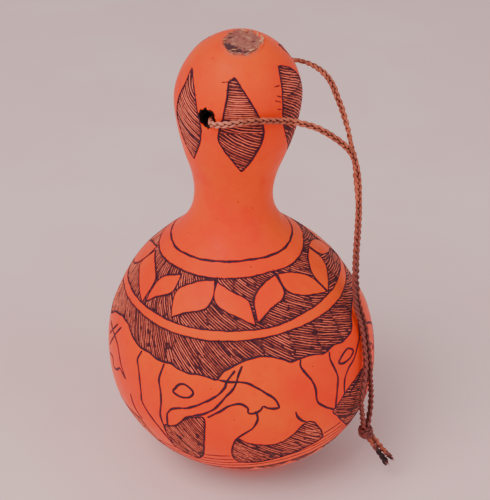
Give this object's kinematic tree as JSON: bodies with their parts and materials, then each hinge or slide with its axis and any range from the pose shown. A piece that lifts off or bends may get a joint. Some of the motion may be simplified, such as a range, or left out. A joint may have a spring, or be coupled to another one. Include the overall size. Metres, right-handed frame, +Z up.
{
  "type": "carved gourd bottle",
  "caption": "Hollow dried bottle gourd with a round belly, narrow neck and bulb head, carved all round, with a plaited hanging cord through the head, knotted at its end.",
  "frame": {"origin": "middle of the belly's outline on the surface that the gourd stands on", "axes": "+Z up through the neck and head, -Y towards the carved side with the front cord hole, +X towards the side where the cord hangs"},
  "size_m": [0.0954, 0.0892, 0.15],
  "materials": {
    "gourd_skin": "smooth waxed orange rind, its carved ground cut back and stained dark purple-brown",
    "cord_fibre": "thin plaited red-brown plant fibre, waxed, with burnt dark ends"
  },
  "bodies": {
    "root": {"gourd": "gourd_skin", "cord": "cord_fibre", "cord_knot": "cord_fibre", "cord_tail_1": "cord_fibre", "cord_tail_2": "cord_fibre"}
  },
  "joints": []
}
